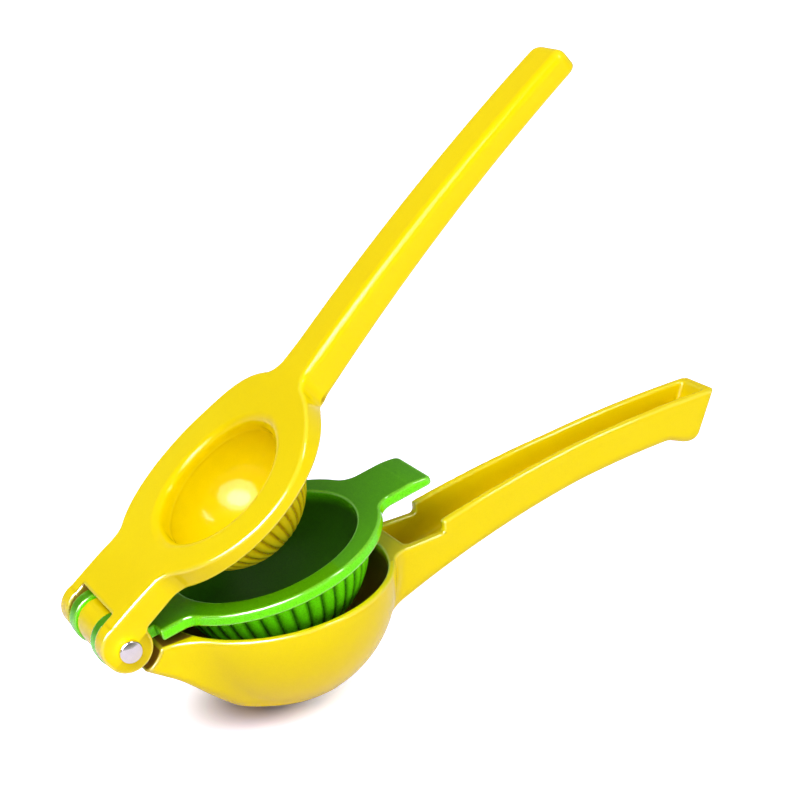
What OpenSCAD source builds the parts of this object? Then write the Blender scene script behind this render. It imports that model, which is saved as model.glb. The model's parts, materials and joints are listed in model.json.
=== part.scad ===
// Hinged citrus squeezer with a lemon bowl, a lime cup that nests in it, and a press lever.
// Origin: centre of the flat that the lemon bowl stands on. +X runs to the handles, +Z is up.
// Every casting is drawn in the hinge frame, closed: the pin axis is Y, and the rims lie flat.

/* [Lemon bowl] */
// Outer radius of the lemon bowl
bowl_r = 37.5; // [34:0.5:42]
// Wall of the lemon bowl
bowl_wall = 2.2; // [1.6:0.2:3]
// Radius of the flat that the bowl stands on
base_r = 12.6; // [10:0.2:14]
// Thickness of the bowl's floor over that flat
floor_t = 1.8; // [1.4:0.1:2.4]
// Diameter of the drain holes in both bowls
hole_d = 3.6; // [2.4:0.2:4.4]
// Drain holes in the outer ring of each bowl
hole_count = 8; // [5:1:10]
// Gap between the flat and the outer ring of holes around it
hole_gap = 2.2; // [1:0.1:3.4]

/* [Hinge] */
// From the pin axis to the outside of the lemon bowl
hinge_gap = 14.5; // [13:0.5:18]
// Height of the pin axis above the bowl rim
pin_rise = 4.1; // [3.8:0.1:5]
// Radius of the centre knuckle
knuckle_r = 7.1; // [6.5:0.1:7.4]
// Width of the centre knuckle
knuckle_w = 14.8; // [12:0.2:18]
// Thickness of each lime cup ear
lime_ear_t = 4.1; // [3:0.1:5]
// Thickness of each press lever ear
press_ear_t = 6.1; // [4.5:0.1:7]
// Radius of the lime cup's ears
lime_ear_r = 7.5; // [6.8:0.1:7.6]
// Radius of the press lever's ears
press_ear_r = 7.2; // [6.8:0.1:7.6]
// Side clearance between neighbouring ears
side_gap = 0.3; // [0.2:0.05:0.5]
// Half-width of the arm that carries the hinge
arm_half_w = 16.4; // [15:0.2:18]

/* [Rivet] */
// Outer radius of the rivet's tubular half
rivet_r = 2.5; // [2:0.1:3]
// Radius of the solid post inside it
post_r = 1.5; // [1:0.1:1.7]
// Radius of the domed heads
head_r = 3.4; // [3.2:0.1:4.5]
// Height of the rim under each dome
head_rim = 1; // [0.6:0.1:1.4]
// Height of the domes on the heads
head_dome = 1.3; // [0.8:0.1:1.8]
// Radial clearance of the moving bores
run_gap = 0.05; // [0.03:0.01:0.08]
// Radial clearance of the fixed rivet fits
seat_gap = 0.02; // [0.01:0.01:0.03]

/* [Lime cup] */
// Inner radius of the lime cup
lime_r = 29.2; // [27:0.2:30]
// Wall of the lime cup
lime_wall = 2.6; // [2:0.1:3]
// Thickness of the lime cup's flange
flange_t = 3.6; // [3:0.1:4.2]
// How far the flange stays inside the bowl's outline
flange_inset = 1; // [0.5:0.1:1.5]
// Half-width of the flange's neck at the hinge
lime_neck_half_w = 16.5; // [15:0.1:17]
// Half-width of the lifting tab
tab_half_w = 10.4; // [9:0.2:11]
// How far the tab reaches past the flange
tab_len = 16.5; // [12:0.5:19]
// Gap between nested flanges
nest_gap = 0.3; // [0.2:0.05:0.4]
// Flutes around the outside of the cup
flute_count = 40; // [24:2:48]
// Depth of the grooves between the flutes
flute_depth = 0.8; // [0.4:0.1:1.2]

/* [Press lever] */
// How far the plate stays inside the lime cup's flange
plate_inset = 0.4; // [0.2:0.1:1.5]
// How far the plate's centre lies past the bowl axis
plate_shift = 1.2; // [0:0.1:2]
// Thickness of the plate at its thinnest
plate_t = 4.3; // [4:0.1:6]
// Radius of the hollow curve along the plate's top
sag_r = 180; // [170:5:220]
// Height of the neck's top above the pin axis
neck_top = 8.9; // [8.7:0.1:9.2]
// Radius of the press dome
dome_r = 24; // [22:0.2:25]
// Radius of the dish in the top of the plate
dish_r = 21.2; // [19:0.2:21.4]
// Ribs around the dome
rib_count = 40; // [24:2:48]
// Depth of the grooves between the ribs
rib_depth = 0.7; // [0.4:0.1:1.2]

/* [Handles] */
// From the pin axis to the end of the press handle
press_reach = 214.4; // [195:0.1:225]
// Half-width of the press handle
press_half_w = 8.2; // [7.6:0.1:9]
// Height of the press handle's top above the pin axis
press_crest_z = 13.9; // [13:0.1:14.5]
// Radius of the arch along the press handle's top
press_crest_r = 868; // [800:10:950]
// Height of the press handle's lower edge
press_belly_z = 5.7; // [5:0.1:6]
// Radius of the arch along its lower edge
press_belly_r = 743; // [700:10:800]
// From the pin axis to the tip of the lower handle
lower_reach = 214; // [196:1:226]
// Half-width of the lower handle along its grip
lower_half_w = 8.4; // [7.8:0.1:9.2]
// Half-width of the lower handle where it leaves the bowl
root_half_w = 11.6; // [11:0.1:13]
// Height of the lower handle's top edge above the pin axis
lower_crest_z = 9.6; // [9:0.1:10]
// Radius of the arch along that edge
lower_crest_r = 497; // [470:5:540]
// Height of the lower handle's belly
lower_belly_z = -3.4; // [-4.5:0.1:-3]
// Radius of the arch along its belly
lower_belly_r = 340; // [315:5:370]
// Depth of the heel at the handle's tip
heel_drop = 3; // [2:0.1:4.5]
// Wall of the lower handle's channel
handle_wall = 2.8; // [2.2:0.1:3.4]
// Wall around the hollow under the press handle
press_wall = 2.2; // [1.8:0.1:3]

/* [Pose] */
// Lift of the lime cup
lime_lift = 9.3; // [0:0.1:60]
// Lift of the press lever, at least 2 degrees more than the lime cup's
press_lift = 34.4; // [12:0.1:90]

/* [Hidden] */
$fn = 96;

big = 400;                                   // longer than anything it cuts
bowl_x = bowl_r + hinge_gap;                 // bowl axis from the pin axis
bowl_depth = sqrt(bowl_r * bowl_r - base_r * base_r);
bowl_inner_r = bowl_r - bowl_wall;
floor_rise = bowl_inner_r - bowl_depth + floor_t; // lifts the inner sphere, so the flat keeps its floor
pin_z = bowl_depth + pin_rise;               // height of the pin axis above the base
rim_z = -pin_rise;                           // lemon bowl rim, hinge frame

knuckle_half_w = knuckle_w / 2;
lime_ear_in = knuckle_half_w + side_gap;
lime_ear_out = lime_ear_in + lime_ear_t;
press_ear_in = lime_ear_out + side_gap;
press_ear_out = press_ear_in + press_ear_t;

flange_bottom = rim_z + nest_gap;
flange_top = flange_bottom + flange_t;
flange_r = bowl_r - flange_inset;
plate_r = flange_r - plate_inset;
plate_x = bowl_x + plate_shift;
plate_bottom = flange_top + nest_gap;
plate_low = plate_bottom + plate_t;          // lowest point of the plate's top
swing_gap = 1.3;                             // clearance around what turns in the hinge
relief_r = neck_top + swing_gap;             // hollow in the arm that the ears turn in
notch_r = 9.5;                               // hollow in the press lever around the knuckle
notch_x = sqrt(notch_r * notch_r - neck_top * neck_top);
web_round = 5;                               // fillets between discs and necks
web_overlap = 8;                             // how far a neck reaches into its disc

arm_sink = 0.8;                              // how deep the arm's foot lies in the bowl's wall
arm_land = 28;                               // angle below the rim at which the arm meets the bowl
arm_end = 47;                                // its underside is inside the bowl from here on
arm_edge_sink = 0.3;
hole_inner_r = 5;                            // inner ring of drain holes
inner_holes = 4;
hole_ring_r = base_r + hole_gap + hole_d / 2;
lime_ring_r = 12;                            // the lime cup's outer ring of holes
handle_sink = 9.5;                           // the lower handle starts this far inside the bowl's outline
in_bowl_x = bowl_x + bowl_r - handle_sink;

tab_end = bowl_x + flange_r + tab_len;
tab_gap = 1.5;                               // between the tab's tip and its recess
tab_round = 3;
tab_bevel_len = 3.6;
tab_bevel_h = 1.2;
recess_end = tab_end + tab_gap;
step_len = 1;                                // bevel on the step behind the recess
cross_wall = 3.9;                            // between the bowl's rim and the handle's channel
ear_root = 4;                                // how far the lime cup's ears reach into its neck
cup_sink = 1;                                // the cup's outside starts this far below the flange's top

flute_start = 4;                             // angles below the rim between which the grooves run
flute_end = 62;
rib_start = 9;
rib_end = 60;

edge_step = 3;                               // spacing of the points along a curved edge
edge_end = 1;                                // least spacing before its last point
press_crest_back = 31;                       // each arch's crest, from the end of its handle
press_belly_back = 17;
lower_crest_back = 8;
lower_belly_back = 16;
press_crest_x = press_reach - press_crest_back;
press_belly_x = press_reach - press_belly_back;
lower_crest_x = lower_reach - lower_crest_back;
lower_belly_x = lower_reach - lower_belly_back;

press_root_in = 2.5;                         // the underside starts to drop this far inside the plate
press_root_len = 3;
press_root_x = plate_x + plate_r - press_root_in;
press_hollow_in = 10;                        // from there to the hollow under the handle
press_hollow_x = press_root_x + press_hollow_in;
press_tip_slant = 0.6;                       // the handle's end leans back by this much
press_tip_round = 4;
hollow_end = press_reach - press_wall - press_tip_slant;
dish_rise = 0.9;                             // lifts the dish, so the dome keeps its floor
sag_shift = 5;                               // lowest point of the plate's top, past the bowl axis
rise_shift = 12;                             // the top rises from here to the handle's arch
rise_len = 28;
sag_x = bowl_x + sag_shift;
rise_x = bowl_x + rise_shift;

channel_start = bowl_x + bowl_r + cross_wall;
channel_end_gap = 2;                         // the channel's end leans with the tip
channel_end = lower_reach - handle_wall - channel_end_gap;
grip_len = 56;                               // the lower handle keeps its width over this length
grip_x = lower_reach - grip_len;
tip_slant = 8.6;                             // the tip leans out by this much from heel to edge
tip_round = 2.2;
heel_len = 12.5;
toe_r = 2.5;
toe_turn = 20;                               // angle at which the toe's round meets the tip

// Height at x of an arch of radius r whose crest is at (cx, cz)
function arch(x, cx, cz, r) = cz - r + sqrt(r * r - (x - cx) * (x - cx));
// Eases from 0 to 1
function ease(t) = let(u = min(max(t, 0), 1)) u * u * (3 - 2 * u);
function mix(a, b, t) = a + (b - a) * ease(t);
function round_points(cx, cy, r, from, to, n = 8) =
    [for (i = [0:n]) let(a = from + (to - from) * i / n) [cx + r * cos(a), cy + r * sin(a)]];
// Top of the press lever: neck, hollow along the plate, then the handle's arch
function press_top(x) =
    let(sag = plate_low + sag_r - sqrt(sag_r * sag_r - (x - sag_x) * (x - sag_x)))
    mix(min(neck_top, sag), arch(x, press_crest_x, press_crest_z, press_crest_r), (x - rise_x) / rise_len);
function press_under(x) =
    mix(plate_bottom, arch(x, press_belly_x, press_belly_z, press_belly_r),
        (x - press_root_x) / press_root_len);
function lower_top(x) = arch(x, lower_crest_x, lower_crest_z, lower_crest_r);
function lower_under(x) = arch(x, lower_belly_x, lower_belly_z, lower_belly_r);
// Half-width of the lower handle: it tapers from the bowl to the grip
function lower_half(x) =
    lower_half_w + (root_half_w - lower_half_w) * max(0, grip_x - x) / (grip_x - bowl_x - bowl_r);

// Places a casting drawn in the hinge frame, lifted by an angle
module at_hinge(lift = 0) {
    translate([-bowl_x, 0, pin_z]) rotate([0, -lift, 0]) children();
}

// Extrudes a side view, drawn in XZ, across the part
module across(w) {
    rotate([90, 0, 0]) linear_extrude(w, center = true) children();
}

// A cylinder on the pin axis, from y0 to y1
module pin_cylinder(r, y0, y1) {
    translate([0, y1, 0]) rotate([90, 0, 0]) cylinder(r = r, h = y1 - y0);
}

// Joins a disc of radius r at the origin to a strip of half-width w along +X
module web(r, w) {
    centre_y = w + web_round;
    reach = sqrt((r + web_round) * (r + web_round) - centre_y * centre_y);
    touch = [reach, centre_y] * r / (r + web_round);
    difference() {
        translate([0, -centre_y]) square([reach, 2 * centre_y]);
        for (side = [-1, 1]) translate([reach, side * centre_y]) circle(web_round);
        difference() {
            translate([0, -big / 2]) square(big);
            circle(r);
            polygon([[0, 0], touch, [reach, w], [reach, -w], [touch[0], -touch[1]]]);
        }
    }
}

module hole_ring(ring_r, count, first = 0) {
    for (i = [0:count - 1]) rotate(first + 360 * i / count) translate([ring_r, 0, -big / 2])
        cylinder(d = hole_d, h = big / 2);
}

module drain_holes(ring_r) {
    hole_ring(hole_inner_r, inner_holes, 45);
    hole_ring(ring_r, hole_count);
}

// V-shaped grooves down a dome of radius r, between two angles below its rim
module grooves(r, depth, count, from, to) {
    out = 1;
    pitch = 2 * PI * r / count;
    half_w = pitch * cos(to) * (depth + out) / depth / 2;
    for (i = [0:count - 1]) rotate(360 * (i + 0.5) / count) rotate([-90, 0, 0]) rotate(from)
        rotate_extrude(angle = to - from) polygon([[r - depth, 0], [r + out, -half_w], [r + out, half_w]]);
}

// ---- Lemon lever: bowl, hinge arm with its centre knuckle, and a handle open at the top ----

// The arm's underside runs from the knuckle to the bowl, and ends inside the sphere
module lemon_arm_side() {
    edge_r = sqrt(bowl_r * bowl_r - arm_half_w * arm_half_w) - arm_edge_sink;
    foot_r = bowl_r - arm_sink;
    polygon([[bowl_x, rim_z], [0, rim_z], [0, -knuckle_r],
        [bowl_x - foot_r * cos(arm_land), rim_z - foot_r * sin(arm_land)],
        [bowl_x - edge_r * cos(arm_end), rim_z - edge_r * sin(arm_end)],
        [bowl_x, rim_z - edge_r * sin(arm_end)]]);
}

module lemon_handle_side() {
    toe_x = lower_reach - tip_slant;
    toe_z = lower_belly_z - heel_drop;
    heel_x = toe_x - heel_len;
    polygon(concat(
        [for (x = [in_bowl_x:edge_step:heel_x - edge_step / 2]) [x, lower_under(x)]],
        [for (t = [0:0.2:0.8]) [heel_x + t * (heel_len - toe_r), mix(lower_under(heel_x), toe_z, t)]],
        round_points(toe_x - toe_r, toe_z + toe_r, toe_r, -90, -toe_turn, 5),
        [[lower_reach, lower_top(lower_reach)]],
        [for (x = [lower_reach - edge_end:-edge_step:recess_end + step_len]) [x, lower_top(x)]],
        [[recess_end, lower_top(recess_end) - step_len], [recess_end, rim_z], [in_bowl_x, rim_z]]));
}

module lemon_handle_plan(inset = 0) {
    end_x = lower_reach - inset - tip_round;
    end_y = lower_half_w - inset - tip_round;
    upper = concat(
        [for (x = [in_bowl_x, grip_x]) [x, lower_half(x) - inset]],
        round_points(end_x, end_y, tip_round, 90, 0));
    polygon(concat(upper, [for (i = [len(upper) - 1:-1:0]) [upper[i][0], -upper[i][1]]]));
}

module lemon_lever() {
    color("gold") at_hinge() difference() {
        union() {
            translate([bowl_x, 0, rim_z]) intersection() {
                sphere(bowl_r, $fn = 180);
                translate([-big / 2, -big / 2, -bowl_depth]) cube([big, big, bowl_depth]);
            }
            difference() {
                intersection() {
                    across(big) lemon_arm_side();
                    translate([0, 0, -big / 2]) linear_extrude(big) union() {
                        translate([-neck_top, -arm_half_w])
                            square([neck_top + bowl_x - bowl_r + web_overlap, 2 * arm_half_w]);
                        translate([bowl_x, 0]) mirror([1, 0]) web(bowl_r, arm_half_w);
                    }
                }
                for (side = [-1, 1]) translate([0, side * (knuckle_half_w + big / 4), 0])
                    pin_cylinder(relief_r, -big / 4, big / 4);
            }
            pin_cylinder(knuckle_r, -knuckle_half_w, knuckle_half_w);
            intersection() {
                across(big) lemon_handle_side();
                translate([0, 0, -big / 2]) linear_extrude(big) lemon_handle_plan();
            }
        }
        translate([bowl_x, 0, rim_z + floor_rise]) sphere(bowl_inner_r, $fn = 180);
        translate([bowl_x, 0, 0]) drain_holes(hole_ring_r);
        pin_cylinder(rivet_r + run_gap, -big / 2, big / 2);
        intersection() {
            across(big) polygon(concat(
                [[channel_end, big], [channel_start, big]],
                [for (x = [channel_start:edge_step:channel_end - edge_end]) [x, lower_under(x) + handle_wall]],
                [[channel_end, lower_under(channel_end) + handle_wall]]));
            translate([0, 0, -big / 2]) linear_extrude(big) lemon_handle_plan(handle_wall);
        }
    }
}

// ---- Lime cup: flanged cup with a lifting tab and two hinge ears ----

module lime_plan() {
    neck_len = bowl_x - flange_r + web_overlap - relief_r;
    translate([bowl_x, 0]) circle(flange_r, $fn = 180);
    translate([relief_r, -lime_neck_half_w]) square([neck_len, 2 * lime_neck_half_w]);
    translate([bowl_x, 0]) mirror([1, 0]) web(flange_r, lime_neck_half_w);
    translate([bowl_x, 0]) web(flange_r, tab_half_w);
    translate([bowl_x, -tab_half_w]) square([tab_end - bowl_x - tab_round, 2 * tab_half_w]);
    translate([bowl_x, -tab_half_w + tab_round]) square([tab_end - bowl_x, 2 * (tab_half_w - tab_round)]);
    for (side = [-1, 1]) translate([tab_end - tab_round, side * (tab_half_w - tab_round)]) circle(tab_round);
}

module lime_cup() {
    color("limegreen") at_hinge(lime_lift) difference() {
        union() {
            translate([0, 0, flange_bottom]) linear_extrude(flange_t) lime_plan();
            translate([bowl_x, 0, flange_top]) difference() {
                sphere(lime_r + lime_wall, $fn = 180);
                translate([-big / 2, -big / 2, -cup_sink]) cube(big);
                grooves(lime_r + lime_wall, flute_depth, flute_count, flute_start, flute_end);
            }
            for (side = [-1, 1]) translate([0, side * (lime_ear_in + lime_ear_t / 2), 0]) {
                pin_cylinder(lime_ear_r, -lime_ear_t / 2, lime_ear_t / 2);
                translate([0, -lime_ear_t / 2, flange_bottom])
                    cube([relief_r + ear_root, lime_ear_t, flange_t]);
            }
        }
        translate([bowl_x, 0, flange_top]) sphere(lime_r, $fn = 180);
        translate([bowl_x, 0, 0]) drain_holes(lime_ring_r);
        pin_cylinder(rivet_r + run_gap, -big / 2, big / 2);
        translate([tab_end - tab_bevel_len, 0, flange_top]) rotate([0, atan2(tab_bevel_h, tab_bevel_len), 0])
            translate([0, -tab_half_w, 0]) cube([2 * tab_bevel_len, 2 * tab_half_w, tab_bevel_len]);
    }
}

// ---- Press lever: plate with a dished top and a press dome, two outer ears, hollow handle ----

module press_side() {
    belly_start = press_root_x + press_root_len;
    polygon(concat(
        [[0, plate_bottom], [0, neck_top]],
        [for (x = [edge_step:edge_step:press_reach]) [x, press_top(x)]],
        [[press_reach, press_top(press_reach)], [press_reach - press_tip_slant, press_under(press_reach)]],
        [for (x = [press_reach - edge_step:-edge_step:belly_start + edge_end]) [x, press_under(x)]],
        [for (i = [6:-1:0]) let(x = press_root_x + i * press_root_len / 6) [x, press_under(x)]]));
}

module press_plan() {
    tip_x = press_reach - press_tip_round;
    tip_y = press_half_w - press_tip_round;
    translate([plate_x, 0]) circle(plate_r, $fn = 180);
    translate([-big / 2, -press_ear_out])
        square([big / 2 + plate_x - plate_r + web_overlap, 2 * press_ear_out]);
    translate([plate_x, 0]) mirror([1, 0]) web(plate_r, press_ear_out);
    translate([plate_x, 0]) web(plate_r, press_half_w);
    translate([plate_x, -press_half_w]) square([tip_x - plate_x, 2 * press_half_w]);
    translate([plate_x, -tip_y]) square([press_reach - plate_x, 2 * tip_y]);
    for (side = [-1, 1]) translate([tip_x, side * tip_y]) circle(press_tip_round);
}

// An ear is round about the pin, and carries that round up to the neck's top
module press_ear() {
    rise = neck_top - press_ear_r;
    pin_cylinder(press_ear_r, 0, press_ear_t);
    translate([0, 0, rise]) pin_cylinder(press_ear_r, 0, press_ear_t);
    translate([-press_ear_r, 0, 0]) cube([2 * press_ear_r, press_ear_t, rise]);
}

module press_lever() {
    color("gold") at_hinge(press_lift) difference() {
        union() {
            intersection() {
                across(big) press_side();
                translate([0, 0, -big / 2]) linear_extrude(big) press_plan();
            }
            for (y = [-press_ear_out, press_ear_in]) translate([0, y, 0]) press_ear();
            translate([bowl_x, 0, plate_bottom]) difference() {
                sphere(dome_r, $fn = 180);
                translate([-big / 2, -big / 2, plate_t / 2]) cube(big);
                grooves(dome_r, rib_depth, rib_count, rib_start, rib_end);
            }
        }
        pin_cylinder(notch_r, -press_ear_in, press_ear_in);
        translate([-big, -press_ear_in, -big / 2]) cube([big + notch_x, 2 * press_ear_in, big]);
        pin_cylinder(rivet_r + seat_gap, -big / 2, big / 2);
        translate([bowl_x, 0, plate_bottom + dish_rise]) {
            sphere(dish_r, $fn = 180);
            cylinder(r = dish_r, h = big, $fn = 180);
        }
        across(2 * (press_half_w - press_wall)) polygon(concat(
            [for (x = [press_hollow_x:edge_step:hollow_end - edge_end]) [x, press_top(x) - press_wall]],
            [[hollow_end, press_top(hollow_end) - press_wall]],
            [[hollow_end, -big / 4], [press_hollow_x, -big / 4]]));
    }
}

// ---- Rivet: a tubular half and a solid post pressed into it, both with domed heads ----

// A domed head that sits on the face y = 0 and rises towards +Y
module rivet_head() {
    cap_r = (head_r * head_r + head_dome * head_dome) / (2 * head_dome);
    head_h = head_rim + head_dome;
    rotate([-90, 0, 0]) intersection() {
        translate([0, 0, head_h - cap_r]) sphere(cap_r);
        cylinder(r = head_r, h = head_h);
    }
}

module rivet_tube() {
    color("silver") at_hinge(press_lift) difference() {
        union() {
            translate([0, press_ear_out, 0]) rivet_head();
            pin_cylinder(rivet_r, -press_ear_out, press_ear_out);
        }
        pin_cylinder(post_r + seat_gap, -big / 2, press_ear_out - press_ear_t / 2);
    }
}

module rivet_post() {
    color("silver") at_hinge(press_lift) {
        translate([0, -press_ear_out, 0]) mirror([0, 1, 0]) rivet_head();
        pin_cylinder(post_r, -press_ear_out, press_ear_in);
    }
}

lemon_lever();
lime_cup();
press_lever();
rivet_tube();
rivet_post();
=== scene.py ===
import json
import math

import bpy
import numpy as np
from mathutils import Matrix, Vector


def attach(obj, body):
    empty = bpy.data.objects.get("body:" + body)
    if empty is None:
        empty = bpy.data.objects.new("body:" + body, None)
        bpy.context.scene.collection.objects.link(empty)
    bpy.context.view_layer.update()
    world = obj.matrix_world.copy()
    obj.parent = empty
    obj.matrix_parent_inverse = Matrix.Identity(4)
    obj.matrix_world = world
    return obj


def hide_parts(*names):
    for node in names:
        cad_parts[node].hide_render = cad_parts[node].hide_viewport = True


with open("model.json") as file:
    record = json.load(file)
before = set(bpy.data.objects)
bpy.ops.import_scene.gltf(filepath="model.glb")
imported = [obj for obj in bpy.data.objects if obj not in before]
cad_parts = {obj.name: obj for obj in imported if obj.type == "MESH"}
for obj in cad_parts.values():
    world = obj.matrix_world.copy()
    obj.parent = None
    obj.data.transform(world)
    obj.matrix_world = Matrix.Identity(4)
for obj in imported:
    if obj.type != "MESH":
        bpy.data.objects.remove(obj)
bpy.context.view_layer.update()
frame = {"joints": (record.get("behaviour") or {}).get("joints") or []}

hinges = {joint["name"]: joint for joint in frame["joints"]}
pin = Vector(hinges["lime_hinge"]["pos_m"])
scene = bpy.context.scene
scene.view_settings.view_transform = "Standard"

# ---- Camera ----
# A long lens, half a metre from the squeezer and a little above it. The eye is placed from the hinge pin, and
# three directions say which way the picture's right side, its lower side and its depth run.
eye_from_pin = Vector((-0.11393, -0.46128, 0.23673))
to_right = Vector((0.86969293, -0.471862, -0.14484633))
downward = Vector((-0.29324956, -0.25789834, -0.92059391))
into_view = Vector((0.39703765, 0.84311014, -0.36266569))
eye = pin + eye_from_pin
lens = bpy.data.cameras.new("camera")
lens.sensor_width = 36
lens.lens = 81.02
lens.clip_start = 0.05
lens.clip_end = 20
camera = bpy.data.objects.new("camera", lens)
camera.matrix_world = Matrix((
    (to_right.x, -downward.x, -into_view.x, eye.x),
    (to_right.y, -downward.y, -into_view.y, eye.y),
    (to_right.z, -downward.z, -into_view.z, eye.z),
    (0, 0, 0, 1)))
scene.collection.objects.link(camera)
scene.camera = camera

# ---- Lemon lever ----
# The lower casting: aluminium with the lemon bowl, the hinge arm and its knuckle, and a handle that is hollow
# and open at the top. The mould and the enamel round every edge, and drain holes go through the bowl's floor.
# All castings are drawn closed, in millimetres from the pin, which is the Y axis: x runs to the handles.
bowl_x = 52.0
bowl_r = 37.5
bowl_inner_r = 35.3
bowl_depth = 35.32
bowl_floor_rise = 1.78
rim_z = -4.1
rim_round = 0.7
drain_r = 1.8
lemon_drains = ((5, 4, np.pi / 4), (16.6, 8, 0))
knuckle_r = 7.1
knuckle_half_w = 6.7
relief_r = 10.2
pin_bore_r = 2.55
arm_half_w = 16.4
arm_foot = (19.6, -21.3)
arm_floor_z = -28.5
arm_blend = 7.0
tab_recess_end = 106.5
bar_top_start = 98.5
bar_start = 80.0
bar_under_crest = (198.0, -3.4)
bar_under_r = 340.0
bar_top_crest = (206.0, 9.6)
bar_top_r = 497.0
bar_wall = 2.8
bar_tip = ((214.0, 9.5), (205.4, -6.4))
heel_start = 192.9
heel_run = 10.0
heel_drop = 3.0
channel_start = 93.4
# Shares of shade painted into the enamel's colour: in the bowl, in the relief, on the rim's land and in the
# channel.
bowl_shade = 0.88
relief_shade = 0.9
arm_land_end = 40.0
arm_land_shade = 0.9
tab_land_start = 84.0
tab_land_shade = 0.3
channel_shade = (0.4, 0.12)
channel_fade_start = 98.0
channel_fade_run = 40.0
margin = 0.3  # a place this close outside a hollow's wall still belongs to the wall
uncut = -9.0  # a distance deep in the metal, for where a cut doesn't reach


def round_max(a, b, r):
    """Overlap of two solids: the greater distance, with their shared edge rounded to a circle of radius r."""
    return np.minimum(np.maximum(a, b), -r) + np.hypot(np.maximum(a + r, 0), np.maximum(b + r, 0))


def round_min(a, b, r):
    """Union of two solids: the lesser distance, with a fillet of radius r in the corner between them."""
    return -round_max(-a, -b, r)


def ease(t):
    """0 below t = 0 and 1 above t = 1, by 3 t squared minus 2 t cubed between them."""
    u = np.clip(t, 0, 1)
    return u * u * (3 - 2 * u)


def mix(a, b, t):
    """The value a below t = 0 and b above t = 1, eased between them."""
    return a + (b - a) * ease(t)


def arch(x, crest_x, crest_z, r):
    """Height at x of a circle of radius r whose highest point is the crest."""
    return crest_z - r + np.sqrt(r * r - (x - crest_x) ** 2)


def half_plane(x, z, start, end):
    """Distance from the line through two points, positive on its right-hand side."""
    run, rise = end[0] - start[0], end[1] - start[1]
    return ((x - start[0]) * rise - (z - start[1]) * run) / math.hypot(run, rise)


def from_centre(x, y, z, centre_z):
    """Distance from the point of the bowl's axis that has the height centre_z."""
    return np.sqrt((x - bowl_x) ** 2 + y ** 2 + (z - centre_z) ** 2)


def drains(x, y, rings):
    """Distance from the nearest upright drain hole: each ring has a radius, a count and a first angle."""
    nearest = np.full(np.shape(x), np.inf)
    for ring_r, count, first in rings:
        for turn in first + 2 * np.pi * np.arange(count) / count:
            centre_x, centre_y = bowl_x + ring_r * math.cos(turn), ring_r * math.sin(turn)
            nearest = np.minimum(nearest, np.hypot(x - centre_x, y - centre_y) - drain_r)
    return nearest


def bar_half_w(x):
    """Half the lower handle's width: even towards the tip, and widening by a straight taper to the bowl."""
    tip_half_w, widening, taper_end, taper_start = 8.4, 3.2, 158.0, 89.5
    return tip_half_w + widening * np.maximum(0, taper_end - x) / (taper_end - taper_start)


def lemon_lever_field(x, y, z):
    """Distance from the casting's surface, negative in the metal.

    A sphere and a tapering arm are joined with a wide fillet, then with the handle, which is an arched bar.
    The space over the rim, the recess for the cup's tab, the inner sphere, the channel and the bores are
    taken away.
    """
    wide, from_pin = np.abs(y), np.hypot(x, z)
    flat = rim_z - bowl_depth - z
    outer = round_max(from_centre(x, y, z, rim_z) - bowl_r, flat, r=2.8)
    inner = from_centre(x, y, z, rim_z + bowl_floor_rise) - bowl_inner_r

    arm = round_max(half_plane(x, z, (0, -knuckle_r), arm_foot), wide - arm_half_w, r=2.0)
    arm = np.maximum(np.maximum(arm, arm_floor_z - z), np.maximum(-x, x - bowl_x))
    body = round_min(outer, arm, r=arm_blend)

    heel = heel_drop * ease((x - heel_start) / heel_run)
    under = bar_under_r - np.hypot(x - bar_under_crest[0], z + heel - bar_under_crest[1] + bar_under_r)
    top = np.hypot(x - bar_top_crest[0], z - bar_top_crest[1] + bar_top_r) - bar_top_r
    half_w = bar_half_w(x)
    tip = half_plane(x, z, *bar_tip)
    bar = round_max(under, wide - half_w, r=2.8)
    bar = round_max(bar, -tip, r=2.2)
    bar = np.maximum(bar, bar_start - x)
    body = round_min(body, bar, r=4.0)
    body = round_max(body, np.where(x > bar_top_start, top, uncut), r=rim_round)
    over_rim = round_max(x - tab_recess_end, rim_z - z, r=1.6)
    body = round_max(body, -over_rim, r=rim_round)
    body = round_max(body, -inner, r=rim_round)

    channel = round_max(wide - (half_w - bar_wall), under + bar_wall, r=1.6)
    channel = round_max(channel, np.maximum(channel_start - x, bar_wall - tip), r=1.8)
    body = round_max(body, -channel, r=rim_round)

    relief = np.maximum(from_pin - relief_r, knuckle_half_w - wide)
    body = round_max(body, -relief, r=0.7)
    knuckle = round_max(from_pin - knuckle_r, wide - knuckle_half_w, r=0.6)
    body = round_min(body, knuckle, r=1.2)
    body = np.maximum(body, flat)
    body = round_max(body, -drains(x, y, lemon_drains), r=0.3)
    return np.maximum(body, pin_bore_r - from_pin)


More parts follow.
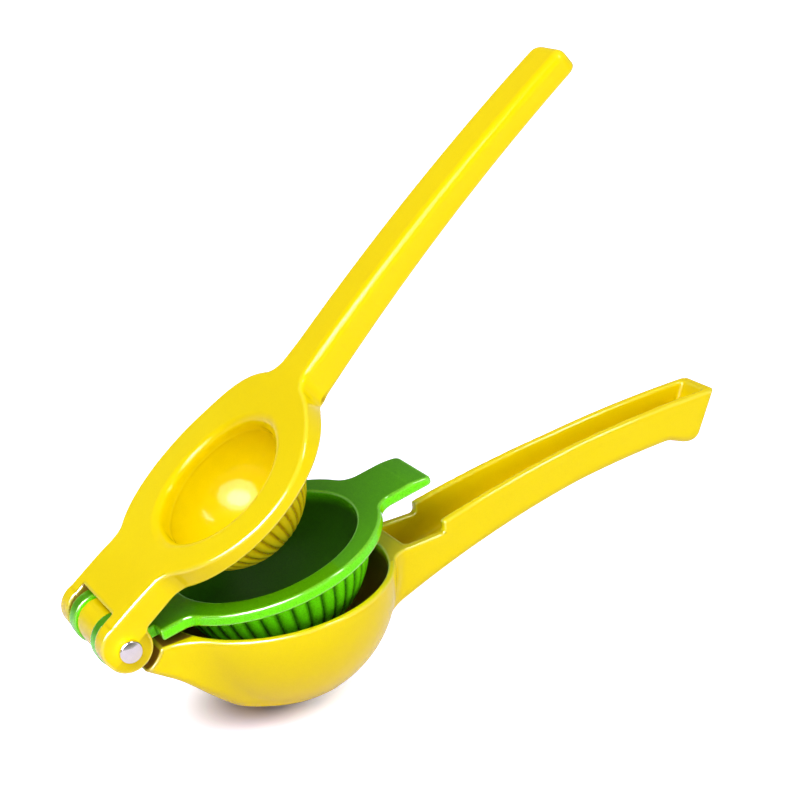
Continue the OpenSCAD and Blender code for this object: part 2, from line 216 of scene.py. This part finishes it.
def lemon_lever_recess(x, y, z):
    """How much shade is painted into the enamel's colour, 0 to 1.

    It is painted deep in the bowl below the rim and in the relief beside the knuckle. The flat land at the
    rim's height gets it too, more at the hinge than under the cup's tab, and the channel less towards its tip.
    """
    wide = np.abs(y)
    in_bowl = from_centre(x, y, z, rim_z + bowl_floor_rise) < bowl_inner_r + margin
    bowl = np.where(in_bowl, bowl_shade * ease((rim_z - z - 0.4) / 3), 0)
    near_relief = ease((relief_r + 0.9 - np.hypot(x, z)) / 0.8)
    relief = np.where(wide > knuckle_half_w + margin, relief_shade * near_relief, 0)
    on_land = (np.abs(z - rim_z) < 0.4) & (wide < arm_half_w - 0.9)
    under_tab = on_land & (x > tab_land_start) & (x < tab_recess_end + 0.5)
    land = np.where(on_land & (x < arm_land_end), arm_land_shade, np.where(under_tab, tab_land_shade, 0))
    floor_line = arch(x, bar_under_crest[0], bar_under_crest[1] + bar_wall / 2, bar_under_r)
    in_channel = (x > channel_start - 1.4) & (wide < bar_half_w(x) - bar_wall + margin) & (z > floor_line)
    channel = np.where(in_channel, mix(*channel_shade, (x - channel_fade_start) / channel_fade_run), 0)
    return np.maximum(np.maximum(bowl, relief), np.maximum(land, channel))


def slope_of(field, points, step):
    """The field's slope at each point, from its change over a step either way along each axis."""
    slope = np.empty_like(points)
    for axis in range(3):
        shift = np.zeros(3)
        shift[axis] = step
        ahead, behind = points + shift, points - shift
        slope[:, axis] = (field(*ahead.T) - field(*behind.T)) / (2 * step)
    return slope


def skin_of(field, low, high, pitch):
    """Vertices and quads of the closed surface where a field is zero.

    A grid of the given pitch samples the field. Each grid edge that the surface crosses gives one quad
    between the four cells around it. Each cell's vertex starts at the mean of the crossings on its edges, and
    then moves onto the surface in three steps along the field's slope, none over half the pitch on any axis.
    """
    axes = [np.arange(a - 2 * pitch, b + 3 * pitch, pitch) for a, b in zip(low, high)]
    value = field(*np.meshgrid(*axes, indexing="ij", sparse=True))
    inside = value < 0
    cells = np.array(value.shape) - 1
    strides = np.array((cells[1] * cells[2], cells[2], 1))
    place_sum, hits, quads = np.zeros((3, cells.prod())), np.zeros(cells.prod()), []
    for axis in range(3):
        first, second = [slice(None)] * 3, [slice(None)] * 3
        first[axis], second[axis] = slice(0, -1), slice(1, None)
        crossed = np.argwhere(inside[tuple(first)] != inside[tuple(second)])
        ends = crossed.copy()
        ends[:, axis] += 1
        start_value, end_value = value[tuple(crossed.T)], value[tuple(ends.T)]
        crossing = crossed.astype(float)
        crossing[:, axis] += start_value / (start_value - end_value)
        side, up = (axis + 1) % 3, (axis + 2) % 3
        ring = []
        for back_side, back_up in ((0, 0), (1, 0), (1, 1), (0, 1)):
            cell = crossed @ strides - back_side * strides[side] - back_up * strides[up]
            ring.append(cell)
            hits += np.bincount(cell, minlength=hits.size)
            for k in range(3):
                place_sum[k] += np.bincount(cell, crossing[:, k], minlength=hits.size)
        ring = np.array(ring).T
        leaving = start_value < 0
        quads.append(np.where(leaving[:, None], ring, ring[:, ::-1]))
    used = np.flatnonzero(hits)
    number = np.zeros(hits.size, int)
    number[used] = np.arange(used.size)
    origin = np.array([axis[0] for axis in axes])
    points = (place_sum[:, used] / hits[used]).T * pitch + origin
    least_steepness = 0.2
    for _ in range(3):
        slope = slope_of(field, points, step=0.02)
        steepness = np.maximum((slope ** 2).sum(1), least_steepness)
        move = -(field(*points.T) / steepness)[:, None] * slope
        points += np.clip(move, -0.5 * pitch, 0.5 * pitch)
    return points, number[np.concatenate(quads)]


def casting(name, field, recess, low, high, pitch, lift):
    """A casting's object: its skin, turned about the pin by its lift in degrees and set on the pin.

    Smooth shading takes the field's slope as each vertex's normal. The attribute edge holds how sharply the
    surface bends outwards, as curvature per millimetre, from the sum of the field's second differences. The
    attribute lay holds how far the surface faces up when the casting lies closed, and the third attribute how
    much shade is painted into its colour.
    """
    points, quads = skin_of(field, low, high, pitch)
    slope = slope_of(field, points, step=0.1)
    normals = slope / np.maximum(np.linalg.norm(slope, axis=1), 1e-6)[:, None]
    reach = 0.5
    bend = -6 * field(*points.T)
    for axis in range(3):
        shift = np.zeros(3)
        shift[axis] = reach
        bend += field(*(points + shift).T) + field(*(points - shift).T)
    turn = math.radians(lift)
    spin = np.array((
        (math.cos(turn), 0, -math.sin(turn)),
        (0, 1, 0),
        (math.sin(turn), 0, math.cos(turn))))
    mesh = bpy.data.meshes.new(name)
    mesh.from_pydata(points @ spin.T / 1000 + np.array(pin), [], quads)
    mesh.update()
    mesh.polygons.foreach_set("use_smooth", np.ones(len(quads), bool))
    mesh.normals_split_custom_set_from_vertices((normals @ spin.T).tolist())
    for label, value in (("edge", bend / reach ** 2), ("lay", normals[:, 2]), ("recess", recess(*points.T))):
        attribute = mesh.attributes.new(label, "FLOAT", "POINT")
        attribute.data.foreach_set("value", value.astype(np.float32))
    piece = bpy.data.objects.new(name, mesh)
    scene.collection.objects.link(piece)
    return piece


def wire(tree, *pairs):
    """Joins sockets of a node tree, each pair from an output to an input."""
    for start, end in pairs:
        tree.links.new(start, end)


def add(tree, kind, settings=None, values=None):
    """Adds a node to a tree, with its settings and the values of its inputs."""
    node = tree.nodes.new(kind)
    for key, value in (settings or {}).items():
        setattr(node, key, value)
    for key, value in (values or {}).items():
        node.inputs[key].default_value = value
    return node


def ramp(tree, source, low, high, start=0.0, end=1.0, curve="LINEAR"):
    """A value that is start up to where the source is at low, and end from high on, with a ramp between."""
    node = add(tree, "ShaderNodeMapRange", {"interpolation_type": curve}, {
        "From Min": low, "From Max": high, "To Min": start, "To Max": end})
    wire(tree, (source, node.inputs["Value"]))
    return node.outputs[0]


def reckon(tree, operation, *terms):
    """The result of one operation on two or three terms, each a number or another node's output."""
    node = add(tree, "ShaderNodeMath", {"operation": operation})
    for socket, term in zip(node.inputs, terms):
        if isinstance(term, bpy.types.NodeSocket):
            wire(tree, (term, socket))
        else:
            socket.default_value = term
    return node.outputs[0]


def enamel_coat_group():
    """Baked enamel over a casting.

    The colour drifts slowly. It gets painted light on faces that stand upright, a painted highlight along
    outward edges, and painted shade in recesses and in inward corners. Orange peel and a fine grain make the
    height. Recesses and smears are duller, and the edge mask is where the coat gathers to a bright line.
    """
    group = bpy.data.node_groups.new("enamel coat", "ShaderNodeTree")
    sockets = group.interface
    for label in ("Colour", "Drift colour", "Side colour", "Recess colour", "Pooled colour", "Edge colour"):
        sockets.new_socket(label, in_out="INPUT", socket_type="NodeSocketColor")
    for label in ("Gloss", "Grain"):
        sockets.new_socket(label, in_out="INPUT", socket_type="NodeSocketFloat")
    sockets.new_socket("Colour", in_out="OUTPUT", socket_type="NodeSocketColor")
    for label in ("Roughness", "Height", "Edge"):
        sockets.new_socket(label, in_out="OUTPUT", socket_type="NodeSocketFloat")
    given = add(group, "NodeGroupInput").outputs
    result = add(group, "NodeGroupOutput").inputs
    place = add(group, "ShaderNodeTexCoord")

    def noise(**values):
        node = add(group, "ShaderNodeTexNoise", values=values)
        wire(group, (place.outputs["Object"], node.inputs["Vector"]))
        return node.outputs["Fac"]

    def attribute(label):
        return add(group, "ShaderNodeAttribute", {"attribute_name": label}).outputs["Fac"]

    def over(colour, other, factor=None, blend="MIX"):
        node = add(group, "ShaderNodeMix", {"data_type": "RGBA", "blend_type": blend}, {"Factor": 1})
        wire(group, (colour, node.inputs[6]), (other, node.inputs[7]))
        if factor is not None:
            wire(group, (factor, node.inputs["Factor"]))
        return node.outputs[2]

    drift = noise(Scale=22, Detail=2, Roughness=0.5)
    grain = noise(Scale=2600, Detail=2, Roughness=0.6)
    peel = noise(Scale=260, Detail=1, Roughness=0.4)
    smear = noise(Scale=48, Detail=4, Roughness=0.65, Distortion=0.6)
    bend, lay, shade = attribute("edge"), attribute("lay"), attribute("recess")
    colour = over(given["Colour"], given["Drift colour"], ramp(group, drift, 0.4, 0.7, 0, 0.6))
    # Painted light: faces that stand upright, or that face down, take a lighter colour.
    colour = over(colour, given["Side colour"], ramp(group, lay, 0.8, 0.3))
    # Painted shade: a dark colour wherever the castings give shade to be painted, in hollows and recesses.
    colour = over(colour, given["Recess colour"], shade)
    # Painted shade: a darker colour in inward corners and creases.
    colour = over(colour, given["Pooled colour"], ramp(group, bend, -0.2, -2.0, 0, 0.5))
    # Painted highlight: a lighter colour along outward edges.
    colour = over(colour, given["Edge colour"], ramp(group, bend, 0.35, 1.3, 0, 0.75))
    speck = reckon(group, "MULTIPLY_ADD", ramp(group, grain, 0.3, 0.7, -1, 1), given["Grain"], 1)
    colour = over(colour, speck, blend="MULTIPLY")
    dull = reckon(group, "ADD", ramp(group, smear, 0.35, 0.75, 0, 0.05), ramp(group, shade, 0.3, 1.0, 0, 0.5))
    wire(group,
         (colour, result["Colour"]),
         (reckon(group, "ADD", dull, given["Gloss"]), result["Roughness"]),
         (reckon(group, "MULTIPLY_ADD", grain, 0.25, peel), result["Height"]),
         (ramp(group, bend, 0.4, 1.1, 0, 0.8), result["Edge"]))
    return group


enamel_coat = enamel_coat_group()


def enamel(name, tint, ior, **coat_values):
    """Glossy enamel over cast metal: the coat group feeds colour, roughness, edge lines and a faint bump."""
    material = bpy.data.materials.new(name)
    material.use_nodes = True
    tree = material.node_tree
    shader = tree.nodes["Principled BSDF"].inputs
    shader["IOR"].default_value = ior
    shader["Specular Tint"].default_value = tint
    shader["Coat IOR"].default_value = 1.9
    shader["Coat Roughness"].default_value = 0.07
    coat = add(tree, "ShaderNodeGroup", {"node_tree": enamel_coat}, {
        label.replace("_", " ").capitalize(): value for label, value in coat_values.items()}).outputs
    bump = add(tree, "ShaderNodeBump", values={"Strength": 0.25, "Distance": 0.00012})
    wire(tree,
         (coat["Colour"], shader["Base Color"]), (coat["Roughness"], shader["Roughness"]),
         (coat["Edge"], shader["Coat Weight"]),
         (coat["Height"], bump.inputs["Height"]), (bump.outputs["Normal"], shader["Normal"]))
    return material


# Besides its yellow, the enamel holds painted light: a lighter yellow on upright faces, a dark maroon as
# painted shade in recesses, a brown as painted shade in inward corners and a lighter yellow as a painted
# highlight on edges.
yellow_enamel = enamel(
    "yellow enamel", tint=(1.0, 1.0, 0.9, 1), ior=1.26,
    colour=(1.0, 0.77, 0.0, 1), drift_colour=(0.97, 0.72, 0.0, 1), side_colour=(1.0, 0.79, 0.0, 1),
    recess_colour=(0.15, 0.03, 0.003, 1), pooled_colour=(0.5, 0.24, 0.0, 1), edge_colour=(1.0, 0.84, 0.03, 1),
    gloss=0.1, grain=0.02)

lemon_lever = casting(
    "lemon_casting", lemon_lever_field, lemon_lever_recess,
    low=(-8, -38, -41), high=(215, 38, 10), pitch=0.68, lift=0)
lemon_lever.data.materials.append(yellow_enamel)
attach(lemon_lever, "lemon_lever")
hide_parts("lemon_lever")

# ---- Lime cup ----
# The middle casting, in green enamel: a fluted cup under a flat flange, which runs on into a neck with two
# hinge ears at one end and a lifting tab at the other. It hangs on the same pin, between the knuckle and the
# press lever's ears, and stands a little open.
lime_lift = -hinges["lime_hinge"]["range_deg"][0]
flange_bottom = -3.8
flange_top = -0.2
flange_r = 36.5
neck_half_w = 16.5
tab_half_w = 10.9
tab_end = 105.8
tab_bevel = (3.6, 1.2)
lime_r = 29.2
cup_outer_r = 31.8
flute_count = 40
flute_depth = 1.05
flute_start = 3.2
flute_run = 1.6
lime_drains = ((5, 4, np.pi / 4), (12, 8, 0))
lime_drain_top = -10.0
cup_ear_r = 7.9
cup_ear_mid = 9.35
cup_ear_half_t = 2.4
cup_ear_end = 10.0
bridge_end = 14.2


def scallops(x, y, count):
    """Square of the place across each of the lobes around the bowl's axis: 0 on a crest, 1 in a valley."""
    across = count * np.arctan2(y, x - bowl_x) / (2 * np.pi)
    return (2 * (across - np.round(across))) ** 2


def lime_cup_field(x, y, z):
    """Distance from the cup's surface, negative in the metal.

    The flange is a disc, a neck and a tab joined in plan with fillets, and cut to its thickness with round
    edges. The cup is a sphere whose radius drops towards each valley between the lobes, and the drop fades
    out towards the bottom. Ears round about the pin are joined to the neck.
    """
    wide, from_pin = np.abs(y), np.hypot(x, z)
    from_axis = np.hypot(x - bowl_x, y)
    neck = np.maximum(wide - neck_half_w, np.maximum(relief_r - x, x - bowl_x))
    tab = round_max(wide - tab_half_w, x - tab_end, r=2.0)
    tab = np.maximum(tab, bowl_x - x)
    plan = round_min(round_min(from_axis - flange_r, neck, r=1.8), tab, r=3.5)
    bevel = half_plane(x, z, (tab_end - tab_bevel[0], flange_top), (tab_end, flange_top - tab_bevel[1]))
    lid = round_max(z - flange_top, -bevel, r=1.5)
    flange = round_max(round_max(plan, lid, r=0.9), flange_bottom - z, r=0.8)

    below = np.maximum(flange_top - z, 0)
    level = from_axis / np.hypot(from_axis, below + 1e-6)
    drop = flute_depth * scallops(x, y, flute_count) * level * ease((below - flute_start) / flute_run)
    cup = np.hypot(from_axis, z - flange_top) - cup_outer_r + drop
    cup = np.maximum(cup, z - flange_top + 1)
    body = round_min(flange, cup * 0.97, r=0.9)

    ear_side = np.abs(wide - cup_ear_mid) - cup_ear_half_t
    ear = round_max(from_pin - cup_ear_r, ear_side, r=0.6)
    bridge = np.maximum(np.maximum(-x, x - bridge_end), np.maximum(z - flange_top, flange_bottom - z))
    bridge = round_max(bridge, ear_side, r=0.5)
    body = round_min(np.minimum(body, bridge), ear, r=1.0)
    body = np.maximum(body, np.where(x < cup_ear_end, ear_side, uncut))
    inner = from_centre(x, y, z, flange_top) - lime_r
    body = round_max(body, -inner, r=0.8)
    body = round_max(body, -np.maximum(drains(x, y, lime_drains), z - lime_drain_top), r=0.3)
    return np.maximum(body, pin_bore_r - from_pin)


def lime_cup_recess(x, y, z):
    """How much shade is painted into the colour, 0 to 1: inside the cup, by depth, and outside between its
    flutes.
    """
    inside = from_centre(x, y, z, flange_top) < lime_r + 0.4
    outside = (z < flange_bottom - 0.4) & (np.hypot(x - bowl_x, y) > 12)
    flute = np.where(outside, 0.9 * ease((scallops(x, y, flute_count) - 0.1) / 0.9), 0)
    return np.where(inside, ease((flange_top - z + 1) / 6), flute)


# Besides its green, the enamel holds painted light: a far brighter green on upright faces, dark greens as
# painted shade in recesses and inward corners, and a paler green as a painted highlight on edges.
green_enamel = enamel(
    "green enamel", tint=(0.85, 1.0, 0.6, 1), ior=1.3,
    colour=(0.08, 0.36, 0.001, 1), drift_colour=(0.065, 0.31, 0.001, 1), side_colour=(0.19, 1.0, 0.005, 1),
    recess_colour=(0.035, 0.18, 0.002, 1), pooled_colour=(0.006, 0.1, 0.001, 1),
    edge_colour=(0.25, 0.85, 0.03, 1), gloss=0.06, grain=0.16)

lime_cup = casting(
    "lime_casting", lime_cup_field, lime_cup_recess,
    low=(-9, -37, -33), high=(107, 37, 9), pitch=0.5, lift=lime_lift)
lime_cup.data.materials.append(green_enamel)
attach(lime_cup, "lime_cup")
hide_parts("lime_cup")

# ---- Press lever ----
# The upper casting: two outer hinge ears, a round plate with a dish in its top and a ribbed press dome under
# it, and a long arched handle, hollow below. It is enamelled like the lemon lever, and turns with the rivet.
closed_gap_deg = 1.5
press_lift = lime_lift + closed_gap_deg - hinges["press_hinge"]["range_deg"][0]
plate_x = 53.2
plate_r = 36.1
plate_bottom = 0.1
plate_low = (57.0, 4.4)
plate_hollow_r = 180.0
plate_edge_r = 1.1
neck_top = 8.9
outer_ear_in = 12.1
outer_ear_out = 18.2
outer_ear_r = 7.2
outer_ear_end = 14.0
dish_r = 21.2
dish_z = 1.0
dish_edge_near_r = 4.6
dish_edge_far_r = 2.4
dome_r = 24.0
rib_count = 40
rib_depth = 0.9
rib_start = 0.6
rib_run = 2.2
grip_end = 215.7
grip_half_w = 8.2
grip_wall = 2.2
grip_edge_r = 3.0
grip_top_crest = (183.4, 13.9)
grip_top_r = 868.0
grip_top_start = 64.0
grip_top_run = 28.0
grip_under_crest = (197.4, 5.7)
grip_under_r = 743.0
grip_under_start = 84.6
grip_under_run = 6.0
hollow_start = 96.8
hollow_end = 211.6
notch_r = 9.5
notch_x = 3.32
press_bore_r = 2.52


def press_top(x):
    """Height of its top: a hollow circle along the plate, capped at the neck, then the handle's arch."""
    along = np.clip(x - plate_low[0], -90, 90)
    hollow = plate_low[1] + plate_hollow_r - np.sqrt(plate_hollow_r ** 2 - along ** 2)
    plate = round_min(neck_top - hollow, np.zeros_like(hollow), r=1.0) + hollow
    return mix(plate, arch(x, *grip_top_crest, grip_top_r), (x - grip_top_start) / grip_top_run)


def press_under(x):
    """Height of its underside: flat under the plate, then eased into the handle's lower arch."""
    grip = arch(x, *grip_under_crest, grip_under_r)
    return mix(plate_bottom, grip, (x - grip_under_start) / grip_under_run)


def press_lever_field(x, y, z):
    """Distance from the lever's surface, negative in the metal.

    A disc, a neck and a bar are joined in plan with fillets and cut between the top and the underside. The
    dish is cut with a round edge, wider at the near side. Ears and a ribbed sphere are joined on, and the
    hollow, the notch for the knuckle and the bore are cut.
    """
    wide, from_pin = np.abs(y), np.hypot(x, z)
    from_axis = np.hypot(x - bowl_x, y)
    disc = np.hypot(x - plate_x, y) - plate_r
    neck = np.maximum(wide - outer_ear_out, np.maximum(-x, x - plate_x))
    bar = np.maximum(round_max(wide - grip_half_w, x - grip_end, r=4.0), plate_x - x)
    plan = round_min(round_min(disc, neck, r=3.0), bar, r=4.0)
    top = press_top(x)
    edge_r = mix(plate_edge_r, grip_edge_r, (x - 82) / 20)
    body = round_max(plan, (z - top) * 0.97, r=edge_r)
    dish = np.hypot(from_axis, np.minimum(z - dish_z, 0)) - dish_r
    body = round_max(body, -dish, r=mix(dish_edge_near_r, dish_edge_far_r, (y + 8) / 18))
    body = round_max(body, press_under(x) - z, r=0.9)

    ear_mid, ear_half_t = (outer_ear_in + outer_ear_out) / 2, (outer_ear_out - outer_ear_in) / 2
    ear = np.hypot(x, z - np.clip(z, 0, neck_top - outer_ear_r)) - outer_ear_r
    ear = round_max(ear, np.abs(wide - ear_mid) - ear_half_t, r=0.8)
    body = round_min(body, ear, r=1.6 * (1 - ease((z - 3) / 3)) + 0.01)
    body = np.maximum(body, np.where(x < outer_ear_end, wide - outer_ear_out, uncut))
    below = np.maximum(plate_bottom - z, 0)
    level = from_axis / np.hypot(from_axis, below + 1e-6)
    drop = rib_depth * scallops(x, y, rib_count) * level * ease((below - rib_start) / rib_run)
    dome = np.hypot(from_axis, z - plate_bottom) - dome_r + drop
    dome = np.maximum(dome, z - plate_bottom - 0.4) * 0.97
    body = round_min(body, round_max(dome, -dish, r=0.5), r=0.8)

    hollow = round_max(wide - (grip_half_w - grip_wall), z - (top - grip_wall), r=1.5)
    hollow = round_max(hollow, np.maximum(hollow_start - x, x - hollow_end), r=1.5)
    body = round_max(body, -hollow, r=0.8)
    notch = np.minimum(from_pin - notch_r, x - notch_x)
    notch = np.maximum(notch, wide - outer_ear_in)
    body = round_max(body, -notch, r=0.7)
    return np.maximum(body, press_bore_r - from_pin)


def press_lever_recess(x, y, z):
    """How much shade is painted into the enamel's colour, 0 to 1.

    It is deepest in the notch for the knuckle, and then between the ribs and in the hollow handle. The bottom
    of the dish has only a trace.
    """
    wide = np.abs(y)
    by_knuckle = (wide < outer_ear_in + 0.5) & (x < outer_ear_end)
    notch = np.where(by_knuckle, 0.8 * ease((notch_r + 0.9 - np.hypot(x, z)) / 0.8), 0)
    from_dish = np.sqrt((x - bowl_x) ** 2 + y ** 2 + np.minimum(z - dish_z, 0) ** 2)
    dish = np.where(from_dish < dish_r + margin, 0.12 * ease((4 - z) / 5), 0)
    under = (from_dish > dish_r + 0.5) & (z < plate_bottom - 0.4)
    ribs = np.where(under, 0.16 + 0.5 * ease((scallops(x, y, rib_count) - 0.15) / 0.85), 0)
    in_hollow = (x > 98) & (wide < grip_half_w - grip_wall + 0.1) & (z < press_top(x) - 2)
    hollow = np.where(in_hollow, 0.3, 0)
    return np.maximum(np.maximum(notch, dish), np.maximum(hollow, ribs))


press_lever = casting(
    "press_casting", press_lever_field, press_lever_recess,
    low=(-8, -37, -25), high=(217, 37, 15), pitch=0.56, lift=press_lift)
press_lever.data.materials.append(yellow_enamel)
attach(press_lever, "press_lever")
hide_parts("press_lever")

# ---- Rivet ----
# A two-part compression rivet in polished steel: a solid post is pressed into a tubular half from the other
# side. Each half has a low domed head with a round rim, and together they clamp the press lever's ears.
head_r = 3.4
head_h = 2.3
cap_r = 3.05
cap_drop = 0.69
head_rim_r = 0.55
head_rim_h = 1.1
turn_steps = 96
# Each half's node, the side of the squeezer that its head is on, and its shank's radius and length.
rivet_halves = {
    "rivet_post_half": ("rivet_post", -1, 1.5, 6.1),
    "rivet_tube_half": ("rivet_tube", 1, 2.5, 36.4)}


def half_outline(shank_r, shank_len):
    """Half outline of a rivet half, as radius and height over its seat.

    The cap falls by the square of its radius, and the rim is a quarter circle down to a flat seat. The shank
    ends in a chamfer.
    """
    cap = np.linspace(0, 1, 20)
    dome = np.stack((cap_r * cap, head_h - cap_drop * cap ** 2), 1)
    turn = np.linspace(np.radians(68), 0, 9)
    rim = np.stack((head_r - head_rim_r * (1 - np.cos(turn)), head_rim_h + head_rim_r * np.sin(turn)), 1)
    seat = np.array(((head_r, 0.25), (head_r - 0.1, 0.06), (head_r - 0.3, 0.0), (shank_r, 0.0)))
    end = np.array(((shank_r, -shank_len + 0.2), (shank_r - 0.2, -shank_len)))
    return np.concatenate((dome[1:], rim, seat, end))


def rivet_half(name, shank_r, shank_len, side):
    """A half outline turned about the pin in even steps, with a fan of triangles to each pole."""
    outline = half_outline(shank_r, shank_len)
    turn = 2 * np.pi * np.arange(turn_steps) / turn_steps
    r, h = outline[:, 0][:, None], outline[:, 1][:, None] + 0 * turn
    seat_y = outer_ear_out
    rings = np.stack((r * np.cos(turn), side * (seat_y + h), side * r * np.sin(turn)), -1).reshape(-1, 3)
    poles = np.array(((0, side * (seat_y + head_h), 0), (0, side * (seat_y - shank_len), 0)))
    points = np.concatenate((rings, poles)) / 1000 + np.array(pin)
    step = np.arange(turn_steps)
    next_step = (step + 1) % turn_steps
    ring_start = (np.arange(len(outline) - 1) * turn_steps)[:, None]
    here, ahead = ring_start + step, ring_start + next_step
    quads = np.stack((here, here + turn_steps, ahead + turn_steps, ahead), -1).reshape(-1, 4)
    last_ring = (len(outline) - 1) * turn_steps
    crown = np.stack((np.full(turn_steps, len(rings)), step, next_step), -1)
    butt = np.stack((np.full(turn_steps, len(rings) + 1), last_ring + next_step, last_ring + step), -1)
    mesh = bpy.data.meshes.new(name)
    mesh.from_pydata(points, [], [*quads.tolist(), *crown.tolist(), *butt.tolist()])
    mesh.update()
    mesh.polygons.foreach_set("use_smooth", np.ones(len(mesh.polygons), bool))
    piece = bpy.data.objects.new(name, mesh)
    scene.collection.objects.link(piece)
    return piece


def polished_steel_material():
    """Polished stainless steel: bright metal, a slow haze in its colour, fine scratches in its roughness."""
    material = bpy.data.materials.new("polished steel")
    material.use_nodes = True
    tree = material.node_tree
    shader = tree.nodes["Principled BSDF"].inputs
    shader["Metallic"].default_value = 1
    place = add(tree, "ShaderNodeTexCoord").outputs["Object"]
    stretch = add(tree, "ShaderNodeMapping", values={"Scale": (900, 60, 9000)})
    scratch = add(tree, "ShaderNodeTexNoise", values={"Scale": 1, "Detail": 3, "Roughness": 0.6})
    haze = add(tree, "ShaderNodeTexNoise", values={"Scale": 420, "Detail": 3})
    tone = add(tree, "ShaderNodeMix", {"data_type": "RGBA"}, {
        6: (0.76, 0.73, 0.67, 1), 7: (0.63, 0.6, 0.55, 1)})
    bump = add(tree, "ShaderNodeBump", values={"Strength": 0.06, "Distance": 0.00003})
    wire(tree,
         (place, stretch.inputs["Vector"]), (stretch.outputs[0], scratch.inputs["Vector"]),
         (place, haze.inputs["Vector"]), (haze.outputs["Fac"], tone.inputs["Factor"]),
         (tone.outputs[2], shader["Base Color"]),
         (ramp(tree, scratch.outputs["Fac"], 0.3, 0.75, 0.08, 0.2), shader["Roughness"]),
         (scratch.outputs["Fac"], bump.inputs["Height"]), (bump.outputs["Normal"], shader["Normal"]))
    return material


polished_steel = polished_steel_material()
for half_name, (node_name, side, shank_r, shank_len) in rivet_halves.items():
    half = rivet_half(half_name, shank_r, shank_len, side)
    half.data.materials.append(polished_steel)
    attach(half, "press_lever")
    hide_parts(node_name)

# ---- Floor and light ----
# A white table in a white room, which keeps the soft shadow under the bowl. Four wide boxes light the squeezer
# without showing in its gloss, and three others only shine in it, for the highlights.
floor_half = 3.0
mirrored_white = 0.45
room_light = 0.16
shadow_centre = (-0.011, -0.002, 0)

floor_mesh = bpy.data.meshes.new("floor")
floor_corners = [(side_x * floor_half, side_y * floor_half, 0) for side_x, side_y in (
    (-1, -1), (1, -1), (1, 1), (-1, 1))]
floor_mesh.from_pydata(floor_corners, [], [(0, 1, 2, 3)])
floor = bpy.data.objects.new("floor", floor_mesh)
scene.collection.objects.link(floor)


def seen_rays(tree):
    """How white the background is to a ray: 1 to the camera's, a share to mirrored and clear ones, else 0."""
    path = add(tree, "ShaderNodeLightPath").outputs
    mirrored = reckon(tree, "MAXIMUM", path["Is Glossy Ray"], path["Is Transmission Ray"])
    share = reckon(tree, "MULTIPLY", mirrored, mirrored_white)
    return reckon(tree, "MAXIMUM", share, path["Is Camera Ray"])


def white_table_material():
    """A matt table with the background's white laid over it, which fades out under the bowl.

    The distance from the middle of the shadow ramps the white from a trace to full, so the shadow stays.
    """
    material = bpy.data.materials.new("white table")
    material.use_nodes = True
    tree = material.node_tree
    shader = tree.nodes["Principled BSDF"]
    shader.inputs["Base Color"].default_value = (0.66, 0.58, 0.8, 1)
    shader.inputs["Roughness"].default_value = 0.9
    shader.inputs["Specular IOR Level"].default_value = 0.0
    place = add(tree, "ShaderNodeTexCoord")
    away = add(tree, "ShaderNodeVectorMath", {"operation": "DISTANCE"}, {1: shadow_centre})
    white = add(tree, "ShaderNodeEmission")
    both = add(tree, "ShaderNodeAddShader")
    fade = ramp(tree, away.outputs["Value"], 0.006, 0.033, 0.02, 1.0, "SMOOTHSTEP")
    wire(tree,
         (place.outputs["Object"], away.inputs[0]),
         (reckon(tree, "MULTIPLY", seen_rays(tree), fade), white.inputs["Strength"]),
         (shader.outputs[0], both.inputs[0]), (white.outputs[0], both.inputs[1]),
         (both.outputs[0], tree.nodes["Material Output"].inputs["Surface"]))
    return material


def white_room():
    """A white room around the table: full white to the camera, and in reflections dimmer overhead.

    Its level goes from room_light, which is all that matt surfaces get from it, up to full white.
    """
    world = bpy.data.worlds.new("studio")
    world.use_nodes = True
    tree = world.node_tree
    sky = tree.nodes["Background"].inputs
    sky["Color"].default_value = (1, 1, 1, 1)
    place = add(tree, "ShaderNodeTexCoord")
    split = add(tree, "ShaderNodeSeparateXYZ")
    path = add(tree, "ShaderNodeLightPath")
    height = ramp(tree, split.outputs["Z"], 0.04, 0.25, 1.0, 0.12)
    reflected = reckon(tree, "MULTIPLY", seen_rays(tree), height)
    seen = reckon(tree, "MAXIMUM", reflected, path.outputs["Is Camera Ray"])
    wire(tree,
         (place.outputs["Generated"], split.inputs[0]),
         (ramp(tree, seen, 0.0, 1.0, room_light, 1.0), sky["Strength"]))
    return world


floor_mesh.materials.append(white_table_material())
scene.world = white_room()


def softbox(name, bearing, height, distance, size, power, use):
    """A studio lamp aimed at the object, from a bearing and a height in degrees and a distance in metres.

    A rectangular one only lights matt surfaces, and an elliptical one only shines in glossy ones.
    """
    middle = Vector((0.05, 0, 0.08))
    light = bpy.data.lights.new(name, "AREA")
    light.shape = "RECTANGLE" if use == "lights" else "ELLIPSE"
    light.size, light.size_y, light.energy = *size, power
    box = bpy.data.objects.new(name, light)
    turn, rise = math.radians(bearing), math.radians(height)
    way = Vector((math.cos(rise) * math.cos(turn), math.cos(rise) * math.sin(turn), math.sin(rise)))
    box.location = middle + distance * way
    box.rotation_euler = (-way).to_track_quat("-Z", "Y").to_euler()
    box.visible_diffuse, box.visible_glossy = use == "lights", use == "shines"
    scene.collection.objects.link(box)


softbox("overhead box", 60, 87, 2.1, (3.0, 3.0), 18, "lights")
softbox("left box", -133, 51, 1.2, (1.0, 0.85), 10.5, "lights")
softbox("front box", -70, 12, 1.7, (1.4, 0.6), 10.5, "lights")
softbox("back box", 80, 14, 1.7, (1.4, 0.6), 6, "lights")
softbox("left shine", -139, 38, 1.2, (1.5, 1.1), 52, "shines")
softbox("left core", -142, 41, 1.19, (0.8, 0.55), 30, "shines")
softbox("right shine", -50, 52, 1.2, (0.17, 0.6), 4.5, "shines")
